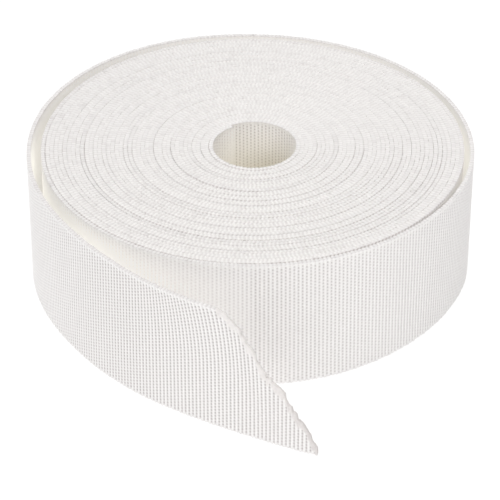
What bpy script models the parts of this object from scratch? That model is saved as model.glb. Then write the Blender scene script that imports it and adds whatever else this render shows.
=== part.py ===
"""A roll of woven nylon webbing that lies flat, with its last turn sprung loose into a free end.

Metres, +Z up. The origin is under the middle of the whole, on the surface that it lies on.
Bearings are in degrees, counter-clockwise from +X round the axis of the roll. The webbing is
wound counter-clockwise from the hole outwards.
"""
import math

import bpy
import bmesh

MM = 0.001

# The webbing
WIDTH = 38.0 * MM
THICKNESS = 1.2 * MM
CLEARANCE = 0.3 * MM

# The wound roll: it starts at the inner end and stops at the join, where the loose turn begins
HOLE_RADIUS = 11.0 * MM
ROLL_RADIUS = 58.3 * MM
ROLL_SPAN = ROLL_RADIUS - HOLE_RADIUS
INNER_END_BEARING = 120.0
JOIN_BEARING = 285.0
STEPS_PER_TURN = 72

# The main gap lines on top are the edges of one broad spiral band
BAND_TURNS = 8.0 + (JOIN_BEARING - INNER_END_BEARING) / 360.0
GAP_DEPTH = 0.6 * MM
GAP_HALF_WIDTH = 0.6 * MM
LARGEST_INSET_SHARE = 0.3

# How far out the band's edge has come after so many turns, from 0 at the wall of the hole
# to 1 at the outside of the roll
BAND_COLUMNS = ("turn", "fraction")
BAND = (
    (-1.0, 0.0),
    (0.0, THICKNESS / ROLL_SPAN),
    (1.0, 0.11),
    (2.0, 0.22),
    (3.0, 0.36),
    (4.0, 0.495),
    (5.0, 0.625),
    (6.0, 0.76),
    (7.0, 0.90),
    (BAND_TURNS - 1.0, 1.0 - (THICKNESS + CLEARANCE) / ROLL_SPAN),
    (BAND_TURNS, 1.0),
)

# How far the outer turns stand out of a true spiral, at the top edge and at the floor
EDGE_COLUMNS = ("bearing_deg", "rim_mm", "foot_mm")
STAND_OUT = (
    (-75.0, 0.0, 1.4),
    (-60.0, 0.1, 0.8),
    (-44.0, 0.4, 0.4),
    (-26.0, 0.8, 0.6),
    (0.0, 1.0, 1.0),
    (25.0, 0.9, 0.9),
    (55.0, 0.4, 0.4),
    (90.0, 1.0, 1.0),
    (115.0, 1.5, 1.5),
    (140.0, 1.7, 1.7),
    (165.0, 1.2, 1.2),
    (190.0, 0.8, 0.9),
    (230.0, 0.4, 0.9),
    (262.0, 0.2, 1.5),
    (285.0, 0.0, 1.4),
)

# The radius of the loose turn's outer face, from the join to the tip of the free end
LOOSE_TURN = (
    (285.0, 58.3, 59.7),
    (300.0, 58.6, 59.4),
    (316.0, 59.1, 59.3),
    (334.0, 60.2, 59.9),
    (350.0, 61.0, 60.8),
    (380.0, 61.2, 61.2),
    (430.0, 61.3, 61.3),
    (452.0, 61.6, 61.6),
    (468.0, 62.5, 62.5),
    (490.0, 63.4, 63.4),
    (515.0, 63.3, 63.3),
    (542.0, 62.8, 62.8),
    (566.0, 63.2, 63.7),
    (581.0, 64.4, 65.2),
    (594.0, 66.9, 67.9),
    (605.0, 70.4, 71.0),
    (618.0, 75.6, 75.6),
    (630.0, 82.4, 82.4),
    (640.4, 91.2, 91.2),
)
LOOSE_START = JOIN_BEARING + 0.5
LOOSE_TIP = LOOSE_TURN[-1][0]
LOOSE_STEP = 3.2 * MM
LOOSE_SAMPLES = 3600

# The free end is cut across at a slant, with its blunt point on the floor
CUT_RUN = 27.8 * MM
CUT_TOE_HEIGHT = 3.5 * MM

# The finish: colour and roughness
WOUND_FINISH = ((0.86, 0.85, 0.82, 1.0), 0.75)
LOOSE_FINISH = ((0.88, 0.87, 0.85, 1.0), 0.72)
SHARP_ANGLE = math.radians(20.0)


def smooth(rows, columns, name, at):
    """Read one column of a table at any place, on a smooth curve through its rows."""
    value = columns.index(name)
    last = len(rows) - 1
    row = 0
    while row < last - 1 and at > rows[row + 1][0]:
        row += 1

    def slope(k):
        before, after = rows[max(k - 1, 0)], rows[min(k + 1, last)]
        return (after[value] - before[value]) / (after[0] - before[0])

    start, end = rows[row], rows[row + 1]
    span = end[0] - start[0]
    t = min(max((at - start[0]) / span, 0.0), 1.0)
    return (start[value] * (2 * t**3 - 3 * t**2 + 1) + slope(row) * span * (t**3 - 2 * t**2 + t)
            + end[value] * (3 * t**2 - 2 * t**3) + slope(row + 1) * span * (t**3 - t**2))


def edge_radius(rows, bearing, height):
    """Read an edge table at a height between the floor and the top edge, in metres."""
    rim = smooth(rows, EDGE_COLUMNS, "rim_mm", bearing)
    foot = smooth(rows, EDGE_COLUMNS, "foot_mm", bearing)
    return (foot + (rim - foot) * height / WIDTH) * MM


def polar(bearing, radius, height):
    angle = math.radians(bearing)
    return (radius * math.cos(angle), radius * math.sin(angle), height)


def band_radius(turn, height):
    """Radius of the spiral band's edge after so many turns, at one height of the roll."""
    fraction = smooth(BAND, BAND_COLUMNS, "fraction", turn)
    first = STAND_OUT[0][0]
    bearing = first + (INNER_END_BEARING + 360.0 * turn - first) % 360.0
    return HOLE_RADIUS + ROLL_SPAN * fraction + edge_radius(STAND_OUT, bearing, height) * fraction**2


def band_point(step, height, inset=0.0):
    turn = step / STEPS_PER_TURN
    return polar(INNER_END_BEARING + 360.0 * turn, band_radius(turn, height) + inset, height)


def wound_roll():
    """The roll as one solid: a broad spiral band on top, flat below, a step at each end of it."""
    turn = STEPS_PER_TURN
    last = round(BAND_TURNS * turn)
    corners, number, faces = [], {}, []

    def corner(line, step, point):
        number[line, step] = len(corners)
        corners.append(point)

    def strip(line_a, shift_a, line_b, shift_b, first, end):
        for step in range(first, end):
            a, b = step + shift_a, step + shift_b
            faces.append((number[line_a, a], number[line_a, a + 1], number[line_b, b + 1], number[line_b, b]))

    for step in range(-turn, last + 1):
        corner("floor", step, band_point(step, 0.0))
        corner("gap", step, band_point(step, WIDTH - GAP_DEPTH))
    for step in range(0, last + 1):
        band_width = band_radius(step / turn, WIDTH) - band_radius(step / turn - 1.0, WIDTH)
        inset = min(GAP_HALF_WIDTH, LARGEST_INSET_SHARE * band_width)
        corner("inner_crown", step, band_point(step - turn, WIDTH, inset))
        corner("outer_crown", step, band_point(step, WIDTH, -inset))

    strip("gap", -turn, "inner_crown", 0, 0, last)
    strip("inner_crown", 0, "outer_crown", 0, 0, last)
    strip("outer_crown", 0, "gap", 0, 0, last)
    strip("floor", 0, "floor", -turn, 0, last)
    strip("floor", 0, "gap", 0, -turn, 0)
    strip("floor", 0, "gap", 0, last - turn, last)
    for step in (0, last):
        faces.append((number["floor", step - turn], number["gap", step - turn], number["inner_crown", step],
                      number["outer_crown", step], number["gap", step], number["floor", step]))
    return corners, faces


def loose_point(bearing, height, depth):
    """A point of the loose turn, so deep under its outer face."""
    reach = 0.25
    before = max(bearing - reach, LOOSE_START)
    after = min(bearing + reach, LOOSE_TIP)
    x0, y0, _ = polar(before, edge_radius(LOOSE_TURN, before, 0.0), 0.0)
    x1, y1, _ = polar(after, edge_radius(LOOSE_TURN, after, 0.0), 0.0)
    length = math.hypot(x1 - x0, y1 - y0)
    x, y, z = polar(bearing, edge_radius(LOOSE_TURN, bearing, height), height)
    return (x - depth * (y1 - y0) / length, y + depth * (x1 - x0) / length, z)


def loose_sections():
    """Bearing and length left to the tip, for each section of the loose turn."""
    turned = LOOSE_TIP - LOOSE_START
    bearings = [LOOSE_START + turned * k / LOOSE_SAMPLES for k in range(LOOSE_SAMPLES + 1)]
    foot = [loose_point(bearing, 0.0, 0.0) for bearing in bearings]
    lengths = [0.0]
    for before, after in zip(foot, foot[1:]):
        lengths.append(lengths[-1] + math.dist(before, after))

    full_width = lengths[-1] - CUT_RUN
    full_count = round(full_width / LOOSE_STEP)
    cut_count = round(CUT_RUN / LOOSE_STEP)
    places = [full_width * k / full_count for k in range(full_count + 1)]
    places += [full_width + CUT_RUN * k / cut_count for k in range(1, cut_count + 1)]

    sections, k = [], 0
    for place in places:
        while k < LOOSE_SAMPLES - 1 and lengths[k + 1] < place:
            k += 1
        share = (place - lengths[k]) / (lengths[k + 1] - lengths[k])
        sections.append((bearings[k] + share * (bearings[k + 1] - bearings[k]), lengths[-1] - place))
    return sections


def loose_end():
    """The loose turn and its free end: one sheet that stands on its edge, cut at a slant."""
    corners, faces = [], []
    for bearing, left in loose_sections():
        top = min(WIDTH, CUT_TOE_HEIGHT + (WIDTH - CUT_TOE_HEIGHT) * left / CUT_RUN)
        for height, depth in ((0.0, 0.0), (top, 0.0), (top, THICKNESS), (0.0, THICKNESS)):
            corners.append(loose_point(bearing, height, depth))
    for first in range(0, len(corners) - 4, 4):
        for side in range(4):
            a, b = first + side, first + (side + 1) % 4
            faces.append((a, b, b + 4, a + 4))
    faces.append(tuple(range(4)))
    faces.append(tuple(range(len(corners) - 4, len(corners))))
    return corners, faces


def material(name, finish):
    colour, roughness = finish
    made = bpy.data.materials.new(name)
    made.use_nodes = True
    shader = made.node_tree.nodes["Principled BSDF"]
    shader.inputs["Base Color"].default_value = colour
    shader.inputs["Roughness"].default_value = roughness
    shader.inputs["Metallic"].default_value = 0.0
    return made


def add_object(name, corners, faces, place, finish):
    """One closed object, its corners measured from the axis of the roll."""
    mesh = bpy.data.meshes.new(name)
    mesh.from_pydata(corners, [], faces)
    shape = bmesh.new()
    shape.from_mesh(mesh)
    bmesh.ops.recalc_face_normals(shape, faces=shape.faces)
    shape.to_mesh(mesh)
    shape.free()
    mesh.shade_smooth()
    mesh.set_sharp_from_angle(angle=SHARP_ANGLE)
    mesh.materials.append(material(name, finish))
    made = bpy.data.objects.new(name, mesh)
    made.location = place
    bpy.context.scene.collection.objects.link(made)


def main():
    for old in list(bpy.data.objects):
        bpy.data.objects.remove(old, do_unlink=True)
    roll_corners, roll_faces = wound_roll()
    end_corners, end_faces = loose_end()
    xs = [corner[0] for corner in roll_corners + end_corners]
    ys = [corner[1] for corner in roll_corners + end_corners]
    axis_place = (-(min(xs) + max(xs)) / 2, -(min(ys) + max(ys)) / 2, 0.0)
    add_object("wound_roll", roll_corners, roll_faces, axis_place, WOUND_FINISH)
    add_object("loose_end", end_corners, end_faces, axis_place, LOOSE_FINISH)


main()
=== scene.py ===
"""A roll of ribbed nylon webbing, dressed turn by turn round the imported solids.

Metres, +Z up. The whole webbing is one path, measured from its inner end in the hole to the tip
of its free end. Angles along it are in degrees, counter-clockwise from +X round the roll's axis,
and go on counting from turn to turn.
"""
import math

import bmesh
import bpy
import numpy as np
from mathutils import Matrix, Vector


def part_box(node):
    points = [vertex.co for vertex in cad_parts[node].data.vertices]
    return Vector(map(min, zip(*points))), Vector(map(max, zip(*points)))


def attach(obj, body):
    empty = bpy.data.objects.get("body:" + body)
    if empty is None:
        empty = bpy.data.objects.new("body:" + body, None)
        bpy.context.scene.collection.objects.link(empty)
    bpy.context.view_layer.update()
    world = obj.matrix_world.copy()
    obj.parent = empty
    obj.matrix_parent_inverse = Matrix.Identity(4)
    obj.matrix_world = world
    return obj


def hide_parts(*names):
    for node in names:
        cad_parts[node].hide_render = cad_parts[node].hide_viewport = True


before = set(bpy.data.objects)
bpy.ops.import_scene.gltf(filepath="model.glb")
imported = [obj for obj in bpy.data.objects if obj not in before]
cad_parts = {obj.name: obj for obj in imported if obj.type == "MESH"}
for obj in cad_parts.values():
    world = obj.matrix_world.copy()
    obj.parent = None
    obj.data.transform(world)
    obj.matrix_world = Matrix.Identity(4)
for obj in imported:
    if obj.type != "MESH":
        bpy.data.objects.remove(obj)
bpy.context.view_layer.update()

MM = 0.001

# The webbing
WIDTH = 38.0 * MM
TURN_PITCH = 1.2 * MM
RIB = 1.14 * MM
BUMPS_ACROSS = 37

# The roll, with the names and sizes that the solids have
HOLE_RADIUS = 11.0 * MM
ROLL_RADIUS = 58.3 * MM
INNER_END = 120.0
JOIN_BEARING = 285.0
WOUND_TURNS = 39.0 + (JOIN_BEARING - INNER_END) / 360.0
JOIN = INNER_END + 360.0 * WOUND_TURNS

# The roll's axis, from the loose end's reach to its left and back
REACH_LEFT = 62.8 * MM
REACH_BACK = 61.56 * MM
LOW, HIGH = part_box("loose_end")
AXIS = np.array((LOW[0] + REACH_LEFT, HIGH[1] - REACH_BACK))

# As in the solids: how far the outer turns stand out of a true spiral, at the top edge and at the
# floor, and the radius of the loose turn's outer face there
EDGE_COLUMNS = ("bearing_deg", "rim_mm", "foot_mm")
STAND_OUT = (
    (-75.0, 0.0, 1.4),
    (-60.0, 0.1, 0.8),
    (-44.0, 0.4, 0.4),
    (-26.0, 0.8, 0.6),
    (0.0, 1.0, 1.0),
    (25.0, 0.9, 0.9),
    (55.0, 0.4, 0.4),
    (90.0, 1.0, 1.0),
    (115.0, 1.5, 1.5),
    (140.0, 1.7, 1.7),
    (165.0, 1.2, 1.2),
    (190.0, 0.8, 0.9),
    (230.0, 0.4, 0.9),
    (262.0, 0.2, 1.5),
    (285.0, 0.0, 1.4),
)
LOOSE_TURN = (
    (285.0, 58.3, 59.7),
    (300.0, 58.6, 59.4),
    (316.0, 59.1, 59.3),
    (334.0, 60.2, 59.9),
    (350.0, 61.0, 60.8),
    (380.0, 61.2, 61.2),
    (430.0, 61.3, 61.3),
    (452.0, 61.6, 61.6),
    (468.0, 62.5, 62.5),
    (490.0, 63.4, 63.4),
    (515.0, 63.3, 63.3),
    (542.0, 62.8, 62.8),
    (566.0, 63.2, 63.7),
    (581.0, 64.4, 65.2),
    (594.0, 66.9, 67.9),
    (605.0, 70.4, 71.0),
    (618.0, 75.6, 75.6),
    (630.0, 82.4, 82.4),
    (640.4, 91.2, 91.2),
)
TIP = JOIN + LOOSE_TURN[-1][0] - JOIN_BEARING

# Places between turns where the roll is wound less tight. Each row: how far out, from 0 at the
# hole to 1 at the outside, the bearing and half the arc in degrees, and the size in millimetres.
GAPS = (
    (0.09, 200.0, 170.0, 0.10),
    (0.16, 270.0, 120.0, 0.14),
    (0.23, 290.0, 130.0, 0.14),
    (0.27, 240.0, 110.0, 0.10),
    (0.37, 210.0, 160.0, 0.09),
    (0.41, 275.0, 120.0, 0.15),
    (0.50, 120.0, 150.0, 0.10),
    (0.53, 280.0, 110.0, 0.14),
    (0.57, 300.0, 120.0, 0.12),
    (0.65, 260.0, 130.0, 0.14),
    (0.70, 25.0, 160.0, 0.10),
    (0.72, 285.0, 90.0, 0.14),
    (0.79, 270.0, 110.0, 0.15),
    (0.80, 160.0, 140.0, 0.09),
    (0.83, 300.0, 100.0, 0.12),
    (0.85, 25.0, 170.0, 0.10),
    (0.88, 265.0, 110.0, 0.14),
    (0.92, 280.0, 100.0, 0.12),
)

# The slanted cut of the free end. Each row: how far back from the tip, and the height there,
# both in millimetres.
CUT = (
    (0.0, 1.8),
    (0.6, 3.2),
    (1.5, 5.0),
    (4.0, 9.2),
    (6.2, 11.8),
    (8.0, 14.0),
    (9.0, 16.5),
    (10.6, 18.3),
    (13.1, 20.4),
    (15.2, 22.1),
    (16.8, 25.1),
    (20.6, 30.9),
    (22.6, 33.8),
    (24.2, 35.6),
    (27.0, 37.4),
    (29.0, 38.0),
)
CUT_RUN = CUT[-1][0]

# The cut is ragged: notches like the teeth of a saw, and waves given by their size, how fast they
# turn in a millimetre and where they start. It all fades just under the full height.
NOTCH_LENGTH = 2.5
NOTCH_HEIGHT = 1.35
NOTCH_WAVES = ((0.35, 0.9, 0.0),)
CUT_WAVES = ((0.14, 8.9, 1.0), (0.10, 2.1, 0.0))
CUT_LOSS = 0.1
CUT_FADE = 2.0

# Heat has sealed the cut in a hard narrow band, lumpy and thinner than the rest. Its width is in
# millimetres at right angles to the slant, which is so much of the height below the cut.
SEAL_ROUND = 0.25
SEAL_WIDTH = 1.5
SEAL_WAVES = ((0.25, 1.3, 0.0), (0.15, 3.1, 2.0))
SEAL_LEAN = 0.57
SEAL_FADE = 3.0
SEAL_LUMPS = 0.25
LUMPS_ALONG = 5.0
LUMPS_UP = 4.0
SEAL_THINNING = 0.5

# The band is darker in patches, and at the tip, where that fades so many millimetres behind it.
# The patches are two waves, given by how fast they turn along the webbing and up it.
SCORCHED_PATCHES = 0.10
PATCH_WAVES = ((2.7, 1.3), (0.8, 1.1))
SCORCHED_TIP = 0.28
SCORCHED_END = 14.4
SCORCHED_FADE = 12.0

# The top of the free end's ribs is pulled back from the tip, most at one place along it, all in
# millimetres
LEAN = 2.6
LEAN_MIDDLE = 33.0
LEAN_REACH = 25.0
LEAN_DEPTH = 20.0


def smooth(rows, name, at):
    """Read one column of an edge table at many places, on a smooth curve through its rows."""
    table = np.array(rows)
    x = table[:, 0]
    y = table[:, EDGE_COLUMNS.index(name)]
    slope = np.empty(len(x))
    slope[1:-1] = (y[2:] - y[:-2]) / (x[2:] - x[:-2])
    slope[0] = (y[1] - y[0]) / (x[1] - x[0])
    slope[-1] = (y[-1] - y[-2]) / (x[-1] - x[-2])
    row = np.clip(np.searchsorted(x, at, side="left") - 1, 0, len(x) - 2)
    span = x[row + 1] - x[row]
    t = np.clip((at - x[row]) / span, 0.0, 1.0)
    return (y[row] * (2 * t**3 - 3 * t**2 + 1) + slope[row] * span * (t**3 - 2 * t**2 + t)
            + y[row + 1] * (3 * t**2 - 2 * t**3) + slope[row + 1] * span * (t**3 - t**2))


def gap_shift(angle, share):
    """How far the gaps push the turns outwards, made up for by tighter turns between them."""
    shift = np.zeros_like(angle)
    for fraction, bearing, half_arc, size in GAPS:
        gap_turn = round(fraction * WOUND_TURNS - (bearing - INNER_END) / 360.0)
        gap_angle = bearing + 360.0 * gap_turn
        away = (angle - gap_angle + 180.0) % 360.0 - 180.0
        window = np.where(np.abs(away) < half_arc, 0.5 + 0.5 * np.cos(np.pi * away / half_arc), 0.0)
        passed = angle > gap_angle - 180.0
        shift += size * MM * window * (passed - share)
    return shift


def outer_radius(angle, edge):
    """Radius of the webbing's outer face, for the wound turns and the loose one."""
    share = np.clip((angle - INNER_END) / (JOIN - INNER_END), 0.0, 1.0)
    plain = HOLE_RADIUS + TURN_PITCH + (ROLL_RADIUS - HOLE_RADIUS - TURN_PITCH) * share
    first = STAND_OUT[0][0]
    stand_out = smooth(STAND_OUT, edge, first + (angle - first) % 360.0) * MM
    fraction = (plain - HOLE_RADIUS) / (ROLL_RADIUS - HOLE_RADIUS)
    wound = plain + stand_out * fraction**2 + gap_shift(angle, share)
    loose = smooth(LOOSE_TURN, edge, angle - JOIN + JOIN_BEARING) * MM
    return np.where(angle <= JOIN, wound, loose)


class Path:
    """The webbing's outer face from end to end, in fine steps, looked up by length."""

    def __init__(self):
        step = 0.5
        angle = np.arange(INNER_END, TIP, step)
        angle = np.append(angle, TIP)
        turned = np.radians(angle)
        way = np.stack((np.cos(turned), np.sin(turned)), 1)
        self.angle = angle
        self.foot = AXIS + way * outer_radius(angle, "foot_mm")[:, None]
        self.rim = AXIS + way * outer_radius(angle, "rim_mm")[:, None]
        middle = (self.foot + self.rim) / 2
        along = np.gradient(middle, axis=0)
        along /= np.linalg.norm(along, axis=1)[:, None]
        self.outward = np.stack((along[:, 1], -along[:, 0]), 1)
        steps = np.linalg.norm(np.diff(middle, axis=0), axis=1)
        self.length = np.append(0.0, np.cumsum(steps))
        self.total = self.length[-1]

    def at(self, place, values):
        """The x and y of some of the path's values, at each place along it."""
        return np.stack([np.interp(place, self.length, values[:, k]) for k in (0, 1)], 1)

    def place(self, angle):
        """How far along the webbing an angle lies."""
        return float(np.interp(angle, self.angle, self.length))


PATH = Path()


def on_crest(place):
    """The nearest place along the webbing that lies on the crest of a rib."""
    return (math.floor(place / RIB) + 0.5) * RIB


# The section of the webbing, in millimetres
FULL = WIDTH / MM
HALF_THICK = 0.56
EDGE_ROUND = 0.75
PLAIN_RIM = 0.5
SMOOTH_RIM = 1.3
BUMP = (FULL - 2 * EDGE_ROUND) / BUMPS_ACROSS

# The ribs: their depth in millimetres, how broad their crests are, and, as shares of the depth,
# how far a crest dips between bumps and how high the bridges in a groove stand
RELIEF = 0.32
CREST_POWER = 0.7
CREST_DIP = 0.28
GROOVE_BRIDGE = 0.5

# A line over the face zigzags from rib to rib, so that the bumps on neighbouring ribs stand half
# a bump apart: the rib, and how many bumps the line is shifted there
ZIGZAG_RIBS = (0.0, 0.5, 1.0, 1.5, 2.0)
ZIGZAG_BUMPS = (1 / 6, -0.25, 0.0, 0.25, 1 / 6)

# The edges of the webbing, in millimetres: beads for its ribs, and how uneven they lie. Each rib
# has noise of its own, from a place between two ribs on. At the back the edges swing less.
TOP_BEAD = 0.18
LOOSE_TOP_BEAD = 0.27
FOOT_BEAD = 0.42
NOISE_START = 0.25
EDGE_NOISE = 0.03
EDGE_SWING = 0.06
EDGE_SWING_START = 0.8
SWING_AT_BACK = 0.25
LEVEL_SWING = 0.05
LEVEL_DROP = 0.10

# How far the crown and the shoulders of an edge reach out, as shares of half the thickness, and
# how far the shoulders drop, in millimetres. Where turns lie loose, the shoulders open.
CROWN_REACH = 0.45
CROWN_BEAD = 0.1
OPENING = 0.05
RING_OPENING = 0.10
BEAD_OPENING = 0.03
DROP = 0.02
RING_DROP = 0.12
LINE_DROP = 0.02

# Painted shade on the edges, where shade falls: between beads, more at the front, and on the
# shoulders between two turns; and a tone that differs at random in the grain. The last two are
# painted shade for faces and feet that lie hidden between turns.
EDGE_SHADE = 0.24
FRONT_EDGE_SHADE = 0.06
GRAIN_SHADE = 0.05
SHOULDER_SHADE = 0.03
RING_SHADE = 0.22
RING_DOTS = 0.36
LINE_SHADE = 0.08
HIDDEN_SHADE = 0.3
FOOT_SHADE = 0.2

# Neighbouring turns differ, in waves given by their size, how many go in a turn and their start.
# A line goes right round the roll once in so many turns, a little sooner or later.
TURN_WAVES = ((0.85, 1 / 2.25, 0.0), (0.3, 1 / 4.8, 1.0))
RING_TURNS = 4.8
RING_WANDER = 0.9
RING_WANDER_RATE = 0.7
RING_SHARPNESS = 4

# Steps along the webbing for each rib, and points across it for each bump
FINE_STEPS = 4
PLAIN_STEPS = 2
FINE_POINTS = 3
COARSE_POINTS = 1

# Space beside a face, in millimetres: the least that is counted, across the hole, and open room
LEAST_GAP = 0.01
ACROSS_HOLE = 2 * HOLE_RADIUS / MM
OPEN = 1000.0

# An edge spreads sideways into a narrow gap beside it, up to so many millimetres. What sets
# neighbouring turns apart shows in full up to the close gap, and no more at twice its width.
NARROW_GAP = 0.6
LARGEST_SPREAD = 0.07
CLOSE_GAP = 0.8

# A painted glow, emitted by the webbing itself: it stands in for light that comes through the thin
# webbing into the gaps between turns, and it brightens the hole and its rim
GAP_LIGHT = np.array((0.232, 0.232, 0.212))
HOLE_LIGHT = np.array((0.095, 0.078, 0.0))
HOLE_RIM_LIGHT = 0.09
HOLE_RIM_FADE = 2.8
RIM_DEPTH = 2.0
LIT_GAP = 1.6
TIGHT_SHARE = 0.34
WIDE_GAP = 23.0
WIDE_FADE = 1.3

# The wide gap beside the loose turn has a larger share of that painted glow, but less where the
# lamps reach into it, round one bearing
LOOSE_GAP_SHARE = 1.2
REACHED_LOSS = 0.4
REACHED_MIDDLE = 200.0
REACHED_ARC = 28.0

# The painted glow in a gap fades deep down, from so many millimetres below the rim on
DEEP_FADE = 0.4
DEEP_START = 8.0
DEEP_RUN = 15.0

# Ribs show less in the gaps, in the hole and on the face of the inner end, pressed smooth. Deep in
# the hole the webbing also gets painted shade.
GAP_SMOOTHING = 0.9
GAP_SMOOTHING_POWER = 0.3
HOLE_SMOOTHING = 0.7
HOLE_PATTERN = 1.3
HOLE_PAINTED_SHADE = 0.27
INNER_END_SMOOTH = 9.0 * MM
INNER_END_PATTERN = 0.2

# The grooves stand open along the free end, and less so on the turns behind it
OPEN_GROOVES_BACK = 95.0
OPEN_GROOVES_FADE = 35.0
PRESSED_PATTERN = 0.68


def wave(phase):
    """A smooth wave between 0 and 1, with its crests at whole numbers."""
    return 0.5 + 0.5 * np.cos(2 * np.pi * phase)


def waves(at, rows):
    """The sum of sine waves, each given by its size, how fast it turns and where it starts."""
    return sum(size * np.sin(rate * at + start) for size, rate, start in rows)


def rib_crest(place):
    """1 on the crest of each rib and 0 in the groove between two."""
    return np.abs(np.sin(np.pi * place / RIB))


def slack(place):
    """1 at the front, where the turns lie loosest on each other, and 0 at the back."""
    bearing = np.radians(np.interp(place, PATH.length, PATH.angle))
    return (0.5 - 0.5 * np.sin(bearing)) ** 2


def turn_count(place, way):
    """Turns wound so far, at the webbing itself (0) or on its way to the next turn (1 or -1)."""
    return (np.interp(place, PATH.length, PATH.angle) - INNER_END) / 360.0 + way / 2


def turn_wave(place, way):
    """A wave along the winding, which sets neighbouring turns apart."""
    return waves(2 * np.pi * turn_count(place, way), TURN_WAVES)


def ring_line(place, way):
    """1 about once in five turns, where a line goes right round the roll, and 0 away from it."""
    turn = turn_count(place, way)
    wander = RING_WANDER * np.sin(RING_WANDER_RATE * turn)
    swing = np.sin(2 * np.pi * turn / RING_TURNS + wander)
    return np.clip(swing, 0.0, 1.0) ** RING_SHARPNESS


def edge_back(place):
    """How far the top end of each rib lies from the tip, in millimetres."""
    back = (PATH.total - place) / MM
    away = np.clip(np.abs(back - LEAN_MIDDLE) / LEAN_REACH, 0.0, 1.0)
    return back + LEAN * (0.5 + 0.5 * np.cos(np.pi * away))


def lean(place, height):
    """How far each point is pulled back from the tip, in millimetres, most at the top."""
    depth = (cut_height(place)[:, None] - height) / LEAN_DEPTH
    pulled = edge_back(place) - (PATH.total - place) / MM
    return pulled[:, None] * np.clip(1 - depth, 0.0, 1.0) ** 2


def cut_height(place):
    """Height of the webbing at each place: the full width, or less along the slanted cut."""
    table = np.array(CUT)
    back = edge_back(place)
    height = np.interp(back, table[:, 0], table[:, 1])
    notch = 0.5 - (back / NOTCH_LENGTH + waves(back, NOTCH_WAVES)) % 1.0
    rough = NOTCH_HEIGHT * notch - CUT_LOSS + waves(back, CUT_WAVES)
    fade = np.clip((FULL - height) / CUT_FADE, 0.0, 1.0)
    return np.where(back < CUT_RUN, height + rough * fade, FULL)


def scorch(place, height):
    """Patchy darker places of the sealed band, most at the tip."""
    back = (PATH.total - place) / MM
    short, long = (np.sin(along * back + up * height) for along, up in PATCH_WAVES)
    at_tip = np.clip((SCORCHED_END - back) / SCORCHED_FADE, 0.0, 1.0)
    return SCORCHED_PATCHES * (0.5 + 0.5 * short * long) + SCORCHED_TIP * at_tip


def sealed(place, height):
    """1 at the slanted cut, where heat has sealed it, fading to 0 behind a narrow band."""
    cut = cut_height(place)
    back = edge_back(place)
    band = SEAL_WIDTH * (1 + waves(back, SEAL_WAVES))
    inside = (cut - height) * SEAL_LEAN / band
    return np.where(back < CUT_RUN, np.clip(SEAL_FADE * (1 - inside), 0.0, 1.0), 0.0)


def room(place, way):
    """Space outwards (1) or inwards (-1) of each place, to the next turn or across the hole."""
    angle = np.interp(place, PATH.length, PATH.angle)
    facing = angle + way * 360.0
    apart = way * (outer_radius(facing, "rim_mm") - outer_radius(angle, "rim_mm"))
    apart = np.maximum(apart / MM - 2 * HALF_THICK, LEAST_GAP)
    apart = np.where(facing < INNER_END, ACROSS_HOLE, apart)
    return np.where(facing > TIP, OPEN, apart)


def beside_hole(space):
    return np.isclose(space, ACROSS_HOLE)


def shelter(space, height):
    """0 where a face is open to the room, towards 1 deep in a gap or the hole."""
    hidden = 1 - space / np.hypot(space, np.maximum(FULL - height, 0.0))
    near = np.clip(WIDE_FADE * (1 - space / WIDE_GAP), 0.0, 1.0)
    return np.sqrt(hidden) * np.where(beside_hole(space), 1.0, near)


def gap_share(place, space):
    """How much painted glow the wide gap gets: least at the left front, where the lamps reach in.
    """
    bearing = np.interp(place, PATH.length, PATH.angle) % 360.0
    reached = np.clip(1 - np.abs(bearing - REACHED_MIDDLE) / REACHED_ARC, 0.0, 1.0)
    share = LOOSE_GAP_SHARE - REACHED_LOSS * (3 - 2 * reached) * reached**2
    return np.where(space > LIT_GAP, share, 1.0)


def painted_glow(place, space, height):
    """Colour of the painted glow at one height beside so much space, standing in for light that
    comes through the webbing, and brightening the hole.
    """
    deep = shelter(space, height)[:, None]
    share = np.clip(space / LIT_GAP, TIGHT_SHARE, 1.0) * gap_share(place, space)
    share = share * (1 - DEEP_FADE * np.clip((FULL - height - DEEP_START) / DEEP_RUN, 0.0, 1.0))
    in_gap = GAP_LIGHT * deep * share[:, None]
    below_rim = np.clip((FULL - height) / RIM_DEPTH, 0.0, 1.0)[:, None]
    near_rim = np.clip(1 - HOLE_RIM_FADE * deep, 0.0, 1.0)
    in_hole = HOLE_LIGHT * deep + HOLE_RIM_LIGHT * below_rim * near_rim
    return np.where(beside_hole(space)[:, None], in_hole, in_gap)


def shown(place, side, space, height):
    """How much of the rib pattern shows at one height."""
    deep = shelter(space, height)
    in_hole = HOLE_PATTERN * (1 - HOLE_SMOOTHING * deep)
    in_gap = 1 - GAP_SMOOTHING * deep**GAP_SMOOTHING_POWER
    pattern = np.where(beside_hole(space), in_hole, in_gap)
    back = (PATH.total - place) / MM
    opened = np.clip((OPEN_GROOVES_BACK - back) / OPEN_GROOVES_FADE, 0.0, 1.0)
    pattern = pattern * (PRESSED_PATTERN + (1 - PRESSED_PATTERN) * opened)
    if side > 0:
        return pattern
    return pattern * np.clip(INNER_END_PATTERN + place / INNER_END_SMOOTH, 0.0, 1.0)


def row(place, way, space, out, height, pattern, dark, seal):
    """One line of points along the webbing, with what its surface shows there."""
    height = np.maximum(height, 0.0) + 0 * place
    fixed = [value + 0 * place for value in (out, height, pattern, dark, seal)]
    return fixed + [painted_glow(place, space[way], height)]


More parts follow.
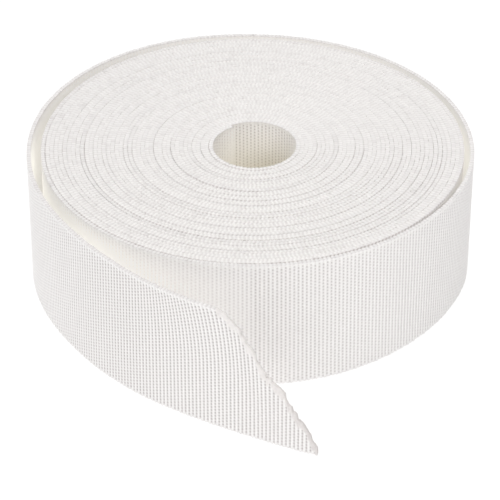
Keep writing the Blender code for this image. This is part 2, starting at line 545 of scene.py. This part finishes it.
def shoulder(place, way, space, bead, loose):
    """How far one shoulder of an edge reaches out and drops, and how much painted shade it has
    beside the next turn.
    """
    ring = np.maximum(turn_wave(place, way), 0.0)
    line = ring_line(place, way)
    close = np.clip(2 - space / CLOSE_GAP, 0.0, 1.0)
    spread = np.where(space < NARROW_GAP, np.clip(space / 2, 0.0, LARGEST_SPREAD), 0.0)
    opening = OPENING + RING_OPENING * ring - BEAD_OPENING * bead
    reach = HALF_THICK * (1 - opening * loose) + spread * (1 - loose)
    drop = (DROP + RING_DROP * ring * close) * loose + LINE_DROP * line * close
    dots = RING_SHADE + RING_DOTS * (1 - bead)
    shade = SHOULDER_SHADE + (ring * loose * dots + LINE_SHADE * line) * close
    return reach, drop, shade


def selvage(place, side, space, seed):
    """Four lines over one rounded edge, outside to inside, with a bead for each rib."""
    draw = np.random.default_rng(seed)
    number = np.floor((place - place[0]) / RIB + NOISE_START).astype(int)
    noise = draw.normal(0.0, 1.0, (3, number[-1] + 1))[:, number]
    bead = rib_crest(place)
    loose = slack(place)
    seal = sealed(place, cut_height(place)) if side > 0 else 0 * place
    top_bead = np.where(place > PATH.place(JOIN), LOOSE_TOP_BEAD, TOP_BEAD)
    rise = (top_bead if side > 0 else FOOT_BEAD) * (bead - 1) * (1 - seal) + EDGE_NOISE * noise[0]
    swing = EDGE_SWING * np.sin(np.pi * place / RIB + EDGE_SWING_START) + EDGE_NOISE * noise[1]
    swing = swing * (SWING_AT_BACK + (1 - SWING_AT_BACK) * loose)
    level = cut_height(place) + (LEVEL_SWING * turn_wave(place, 0) - LEVEL_DROP) * (1 - seal)
    grain = GRAIN_SHADE * np.abs(noise[2])
    rows = []
    for way, on_shoulder in ((1, True), (1, False), (-1, False), (-1, True)):
        reach, drop, shade = HALF_THICK * (CROWN_REACH + CROWN_BEAD * bead), 0.0, 0.0
        if on_shoulder:
            reach, drop, shade = shoulder(place, way, space[way], bead, loose)
        out = way * reach * (1 - SEAL_THINNING * seal) + swing
        height = level - drop + rise if side > 0 else drop - rise
        # Painted shade between beads, more at the front, and on the shoulders; the grain is a tone
        # that differs at random. On the sealed band the scorch takes its place.
        dark = (EDGE_SHADE + FRONT_EDGE_SHADE * loose) * (1 - bead) + grain + shade
        dark = dark * (1 - seal) + scorch(place, height) * seal
        rows.append(row(place, way, space, out, height, 0.0, dark, seal))
    return rows if side > 0 else rows[::-1]


def ribbed_face(place, side, space, points_per_bump):
    """Lines over one ribbed face. Bumps on neighbouring ribs stand half a bump apart."""
    rib = place / RIB
    crest = rib_crest(place) ** CREST_POWER
    line = np.interp(rib % 2.0, ZIGZAG_RIBS, ZIGZAG_BUMPS)
    crest_phase = np.where(np.floor(rib) % 2 == 0, -0.25, 0.25)
    groove_phase = np.where(np.round(rib) % 2 == 0, 0.5, 0.0)
    cut = cut_height(place)
    rows = []
    for k in range(BUMPS_ACROSS * points_per_bump + 1):
        bump = k / points_per_bump + line
        height = np.clip(EDGE_ROUND + bump * BUMP, EDGE_ROUND, FULL - EDGE_ROUND)
        height = np.minimum(height, cut - SEAL_ROUND)
        seal = sealed(place, height)
        crest_level = 1 - CREST_DIP + CREST_DIP * wave(bump - crest_phase)
        groove_level = GROOVE_BRIDGE * wave(bump - groove_phase)
        below_rim = np.clip((FULL - height - PLAIN_RIM) / (SMOOTH_RIM - PLAIN_RIM), 0.0, 1.0)
        pattern = below_rim * (1 - seal) * shown(place, side, space[side], height)
        lumps = np.sin(LUMPS_ALONG * place / RIB) * np.sin(LUMPS_UP * height)
        lump = SEAL_LUMPS * seal * (1 + lumps)
        low = (1 - crest * crest_level - (1 - crest) * groove_level) * pattern + lump
        # Painted shade deep in the hole, with the scorch of the sealed band added
        hole_shade_and_scorch = HOLE_PAINTED_SHADE * beside_hole(space[side]) * shelter(space[side], height)
        hole_shade_and_scorch = hole_shade_and_scorch + scorch(place, height) * seal
        out = side * (HALF_THICK - RELIEF * low)
        rows.append(row(place, side, space, out, height, pattern, hole_shade_and_scorch, seal))
    return rows if side > 0 else rows[::-1]


def plain_face(place, side, space):
    """Two lines over a face that lies against the next turn."""
    rows = []
    for height in (EDGE_ROUND, FULL - EDGE_ROUND):
        rows.append(row(place, side, space, side * HALF_THICK, height, 0.0, HIDDEN_SHADE, 0.0))
    return rows if side > 0 else rows[::-1]


def plain_foot(place, space):
    """Two lines under a turn whose faces are both hidden."""
    reach = CROWN_REACH * HALF_THICK
    return [row(place, way, space, way * reach, 0.0, 0.0, FOOT_SHADE, 0.0) for way in (-1, 1)]


def section(place, outer, inner, seed):
    """All the lines of the section, once round, each value as one array of stations by lines."""
    space = {way: room(place, way) for way in (1, -1)}

    def face(kind, side):
        if kind == "plain":
            return plain_face(place, side, space)
        return ribbed_face(place, side, space, FINE_POINTS if kind == "fine" else COARSE_POINTS)

    hidden = outer == "plain" and inner == "plain"
    foot = plain_foot(place, space) if hidden else selvage(place, -1, space, seed + 1)
    rows = face(outer, 1) + selvage(place, 1, space, seed) + face(inner, -1) + foot
    return [np.stack([line[value] for line in rows], 1) for value in range(len(rows[0]))]


# In the meshes, faces that meet at this angle or more are sharp, and points this near are welded
SHARP_ANGLE = math.radians(80.0)
WELD = 0.02 * MM


def ribbon(name, start, end, outer, inner, seed):
    """One closed stretch of the webbing between two places along it."""
    step = RIB / (PLAIN_STEPS if outer == inner == "plain" else FINE_STEPS)
    place = start + step * np.arange(round((end - start) / step) + 1)
    out, height, pattern, dark, seal, light = section(place, outer, inner, seed)
    foot, rim, outward = (PATH.at(place, values) for values in (PATH.foot, PATH.rim, PATH.outward))
    share = np.clip(height / FULL, 0.0, 1.0)[:, :, None]
    middle = foot[:, None] + (rim - foot)[:, None] * share - outward[:, None] * HALF_THICK * MM
    back = np.stack((outward[:, 1], -outward[:, 0]), 1)
    shift = outward[:, None] * out[:, :, None] + back[:, None] * lean(place, height)[:, :, None]
    flat = middle + shift * MM
    corners = np.concatenate((flat, height[:, :, None] * MM), 2).reshape(-1, 3)

    stations, points = height.shape
    ring = np.arange(points)
    first = (np.arange(stations - 1) * points)[:, None]
    a, b = first + ring, first + (ring + 1) % points
    quads = np.stack((a, a + points, b + points, b), 2).reshape(-1, 4)
    caps = [list(range(points)), list(range((stations - 1) * points, stations * points))[::-1]]
    mesh = bpy.data.meshes.new(name)
    mesh.from_pydata(corners.tolist(), [], quads.tolist() + caps)
    ribs = np.repeat(place[:, None], points, 1) / RIB
    store(mesh, "weave", np.stack((ribs, height, pattern), 2))
    # The dark channel holds painted shade, with the grain and the scorch; the next holds the seal
    store(mesh, "shade_scorch_and_seal", np.stack((dark, seal, 0 * seal), 2))
    store(mesh, "painted_glow", light)
    if end > PATH.total - RIB:
        close_cut(mesh)
    mesh.shade_smooth()
    mesh.set_sharp_from_angle(angle=SHARP_ANGLE)
    made = bpy.data.objects.new(name, mesh)
    bpy.context.scene.collection.objects.link(made)
    return made


def store(mesh, name, values):
    layer = mesh.attributes.new(name, "FLOAT_VECTOR", "POINT")
    layer.data.foreach_set("vector", values.reshape(-1).astype(np.float32))


def close_cut(mesh):
    """Weld the points that the slanted cut has brought together."""
    shape = bmesh.new()
    shape.from_mesh(mesh)
    bmesh.ops.remove_doubles(shape, verts=shape.verts, dist=WELD)
    bmesh.ops.dissolve_degenerate(shape, edges=shape.edges, dist=WELD / 2)
    shape.to_mesh(mesh)
    shape.free()


# The webbing's tint, the tint of the painted shade in its grooves, shown as dots, and the sealed
# band along the cut
WEBBING_TINT = (0.962, 0.948, 0.937)
GROOVE_SHADE_TINT = (0.43, 0.38, 0.378)
SEALED_TINT = (0.89, 0.86, 0.84)
GROOVE_REACH = 0.38
BRIDGE_SHADE = 0.32
YARN_SCALE = (1.5, 14.0, 1.0)
YARN_DEPTH = 0.08 * MM

# The floor glows, so that it stays white beside the white webbing
FLOOR_TINT = (0.35, 0.35, 0.35)
FLOOR_GLOW = 0.75
FLOOR_HALF = 3.0


def add_node(tree, kind, **settings):
    node = tree.nodes.new(kind)
    for name, value in settings.items():
        setattr(node, name, value)
    return node


def math_node(tree, operation, *values, clamp=False):
    node = add_node(tree, "ShaderNodeMath", operation=operation, use_clamp=clamp)
    for socket, value in zip(node.inputs, values):
        if isinstance(value, (int, float)):
            socket.default_value = value
        else:
            tree.links.new(value, socket)
    return node.outputs[0]


def vector_node(tree, operation, first, second):
    node = add_node(tree, "ShaderNodeVectorMath", operation=operation)
    tree.links.new(first, node.inputs[0])
    tree.links.new(second, node.inputs["Scale" if operation == "SCALE" else 1])
    return node.outputs["Vector"]


def mix_node(tree, share, first, second):
    """Mix two colours, each one given as numbers or as a link."""
    node = add_node(tree, "ShaderNodeMix", data_type="RGBA")
    tree.links.new(share, node.inputs["Factor"])
    for socket, value in ((node.inputs["A"], first), (node.inputs["B"], second)):
        if isinstance(value, tuple):
            socket.default_value = (*value, 1.0)
        else:
            tree.links.new(value, socket)
    return node.outputs["Result"]


def attribute(tree, name):
    return add_node(tree, "ShaderNodeAttribute", attribute_name=name).outputs["Vector"]


def split(tree, vector):
    node = add_node(tree, "ShaderNodeSeparateXYZ")
    tree.links.new(vector, node.inputs[0])
    return node.outputs


def groove_shade_dots(tree, ribs, height):
    """Painted shade: dark dots in the grooves between ribs, half a bump apart from one groove to
    the next.
    """
    groove = math_node(tree, "ROUND", ribs)
    away = math_node(tree, "ABSOLUTE", math_node(tree, "SUBTRACT", ribs, groove))
    inside = math_node(tree, "MULTIPLY_ADD", away, -1.0 / GROOVE_REACH, 1.0, clamp=True)
    turned = math_node(tree, "MULTIPLY", groove, math.pi)
    along = math_node(tree, "MULTIPLY_ADD", height, 2 * math.pi / BUMP, turned)
    along = math_node(tree, "SUBTRACT", along, 2 * math.pi * EDGE_ROUND / BUMP)
    swing = math_node(tree, "COSINE", along)
    half = (1 - BRIDGE_SHADE) / 2
    dots = math_node(tree, "MULTIPLY_ADD", swing, half, 1 - half)
    return math_node(tree, "MULTIPLY", inside, dots)


def webbing_material(name, tint):
    """Matt ribbed nylon: painted shade in dots in the grooves and on the edges, a greyer sealed
    edge, a painted glow for light through it, fine yarns.
    """
    made = bpy.data.materials.new(name)
    made.use_nodes = True
    tree = made.node_tree
    shader = tree.nodes["Principled BSDF"]
    shader.inputs["Roughness"].default_value = 0.6
    shader.inputs["Sheen Weight"].default_value = 0.1
    shader.inputs["Specular IOR Level"].default_value = 0.3
    shader.inputs["Emission Strength"].default_value = 1.0

    weave = attribute(tree, "weave")
    ribs, height, pattern = split(tree, weave)
    dark, seal, _ = split(tree, attribute(tree, "shade_scorch_and_seal"))
    # Painted shade: the groove dots and the dark channel mix the cloth towards the shade tint
    dots = math_node(tree, "MULTIPLY", groove_shade_dots(tree, ribs, height), pattern)
    shade = math_node(tree, "MAXIMUM", dots, dark)
    cloth = mix_node(tree, seal, tint, SEALED_TINT)
    cloth = mix_node(tree, shade, cloth, GROOVE_SHADE_TINT)

    mottle = add_node(tree, "ShaderNodeTexNoise")
    mottle.inputs["Scale"].default_value = 2.2
    mottle.inputs["Detail"].default_value = 3.0
    tree.links.new(weave, mottle.inputs["Vector"])
    level = add_node(tree, "ShaderNodeMapRange")
    for socket, value in zip(("From Min", "From Max", "To Min", "To Max"), (0.3, 0.7, 0.95, 1.03)):
        level.inputs[socket].default_value = value
    tree.links.new(mottle.outputs["Fac"], level.inputs["Value"])
    cloth = vector_node(tree, "SCALE", cloth, level.outputs["Result"])
    tree.links.new(cloth, shader.inputs["Base Color"])
    # Painted glow, as emission, where light would come through the webbing and into the hole
    tree.links.new(attribute(tree, "painted_glow"), shader.inputs["Emission Color"])

    stretch = add_node(tree, "ShaderNodeMapping")
    stretch.inputs["Scale"].default_value = YARN_SCALE
    tree.links.new(weave, stretch.inputs["Vector"])
    yarn = add_node(tree, "ShaderNodeTexNoise")
    yarn.inputs["Scale"].default_value = 1.0
    yarn.inputs["Detail"].default_value = 2.0
    tree.links.new(stretch.outputs["Vector"], yarn.inputs["Vector"])
    bump = add_node(tree, "ShaderNodeBump")
    bump.inputs["Strength"].default_value = 0.35
    bump.inputs["Distance"].default_value = YARN_DEPTH
    tree.links.new(yarn.outputs["Fac"], bump.inputs["Height"])
    tree.links.new(bump.outputs["Normal"], shader.inputs["Normal"])
    return made


def floor_material():
    made = bpy.data.materials.new("pale_floor")
    made.use_nodes = True
    shader = made.node_tree.nodes["Principled BSDF"]
    shader.inputs["Base Color"].default_value = (*FLOOR_TINT, 1.0)
    shader.inputs["Roughness"].default_value = 1.0
    shader.inputs["Emission Color"].default_value = (1.0, 1.0, 1.0, 1.0)
    shader.inputs["Emission Strength"].default_value = FLOOR_GLOW
    return made


def add_floor():
    half = FLOOR_HALF
    corners = [(-half, -half, 0.0), (half, -half, 0.0), (half, half, 0.0), (-half, half, 0.0)]
    mesh = bpy.data.meshes.new("floor")
    mesh.from_pydata(corners, [], [(0, 1, 2, 3)])
    mesh.materials.append(floor_material())
    floor = bpy.data.objects.new("floor", mesh)
    bpy.context.scene.collection.objects.link(floor)


def dress(piece, node, material):
    """Put one stretch of webbing in its solid's place, give it its material and hide the solid."""
    piece.data.materials.append(material)
    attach(piece, "root")
    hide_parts(node)


# Each stretch of the webbing is a piece: how far round the hole's wall and the front one reach,
# in degrees, and the seeds of their noise
HOLE_WALL_ARC = 372.0
FRONT_ARC = 110.0
SEED_STEP = 10
LOOSE_SEED = 100


def wound_turns(material):
    """The wound turns, in stretches: only the hole's wall and the front show their ribs."""
    hole_wall = on_crest(PATH.place(INNER_END + HOLE_WALL_ARC))
    front = on_crest(PATH.place(JOIN - FRONT_ARC))
    join = on_crest(PATH.place(JOIN))
    third = (front - hole_wall) / 3
    ends = [hole_wall, on_crest(hole_wall + third), on_crest(hole_wall + 2 * third), front]
    stretches = [("hole_turn", 0.0, hole_wall, "plain", "fine")]
    for k in range(3):
        stretches.append((f"wound_turns_{k + 1}", ends[k], ends[k + 1], "plain", "plain"))
    stretches.append(("front_turn", front, join, "fine", "plain"))
    for number, (name, start, end, outer, inner) in enumerate(stretches):
        piece = ribbon(name, start, end, outer, inner, SEED_STEP * number)
        dress(piece, "wound_roll", material)


CUT_SAMPLES = 200


def cut_away():
    """Length of full webbing that the slanted cut has taken off."""
    back = np.linspace(0.0, CUT_RUN, CUT_SAMPLES) * MM
    return float(np.mean(1 - cut_height(PATH.total - back) / FULL) * CUT_RUN * MM)


def loose_turns(material):
    """The loose turn and free end, ribbed on both faces."""
    join = on_crest(PATH.place(JOIN))
    stretch = (PATH.total - join) / 3
    ends = [join, on_crest(join + stretch), on_crest(join + 2 * stretch), PATH.total]
    names = ("loose_turn_right", "loose_turn_back", "free_end")
    for number, name in enumerate(names):
        start, end = ends[number], ends[number + 1]
        piece = ribbon(name, start, end, "fine", "coarse", LOOSE_SEED + SEED_STEP * number)
        length = end - start
        if name == "free_end":
            length -= cut_away()
        dress(piece, "loose_end", material)


def aim(lamp, target):
    """Turn a lamp so that it shines at a target."""
    way = np.array(target) - np.array(lamp.location)
    lamp.rotation_euler = (
        math.atan2(math.hypot(way[0], way[1]), -way[2]), 0.0, math.atan2(-way[0], way[1]))


# The lamps, which all shine at the roll. Each row: its name, its place, its size in metres and its
# power in watts.
LAMPS = (
    ("left", (-0.80, -0.62, 0.68), 0.5, 0.8),
    ("right", (0.42, -0.76, 0.63), 0.5, 3.35),
    ("above", (0.0, 0.25, 1.08), 0.7, 3.2),
)
LAMP_TINT = (1.0, 0.985, 0.98)
LAMP_TARGET = (AXIS[0], AXIS[1], 0.02)


def add_area(name, place, size, power):
    light = bpy.data.lights.new(name, "AREA")
    light.shape = "DISK"
    light.size = size
    light.energy = power
    light.color = LAMP_TINT
    lamp = bpy.data.objects.new(name, light)
    lamp.location = place
    aim(lamp, LAMP_TARGET)
    bpy.context.scene.collection.objects.link(lamp)


# The room round the roll is paler on its left than on its right
WORLD_LEVEL = 0.5
WORLD_SLOPE = 0.78


def add_lights():
    for lamp in LAMPS:
        add_area(*lamp)
    world = bpy.data.worlds.new("studio")
    world.use_nodes = True
    tree = world.node_tree
    ground = tree.nodes["Background"]
    ground.inputs["Color"].default_value = (1.0, 1.0, 1.0, 1.0)
    way = split(tree, add_node(tree, "ShaderNodeTexCoord").outputs["Generated"])
    level = math_node(tree, "MULTIPLY_ADD", way["X"], -WORLD_SLOPE * WORLD_LEVEL, WORLD_LEVEL)
    tree.links.new(level, ground.inputs["Strength"])
    bpy.context.scene.world = world
    bpy.context.scene.view_settings.view_transform = "Standard"


# The camera, placed from the roll's axis
CAMERA_BACK = 622.5 * MM
CAMERA_HEIGHT = 432.6 * MM
CAMERA_DOWN = math.radians(34.64)
CAMERA_TURN = math.radians(0.09)
CAMERA_LENS = 191.3


def add_camera():
    camera = bpy.data.cameras.new("camera")
    camera.lens = CAMERA_LENS
    camera.sensor_width = 36.0
    camera.clip_start = 0.01
    holder = bpy.data.objects.new("camera", camera)
    holder.location = (AXIS[0], AXIS[1] - CAMERA_BACK, CAMERA_HEIGHT)
    holder.rotation_euler = (math.pi / 2 - CAMERA_DOWN, 0.0, CAMERA_TURN)
    bpy.context.scene.collection.objects.link(holder)
    bpy.context.scene.camera = holder


add_camera()
wound_turns(webbing_material("wound_webbing", WEBBING_TINT))
loose_turns(webbing_material("loose_webbing", WEBBING_TINT))
add_floor()
add_lights()
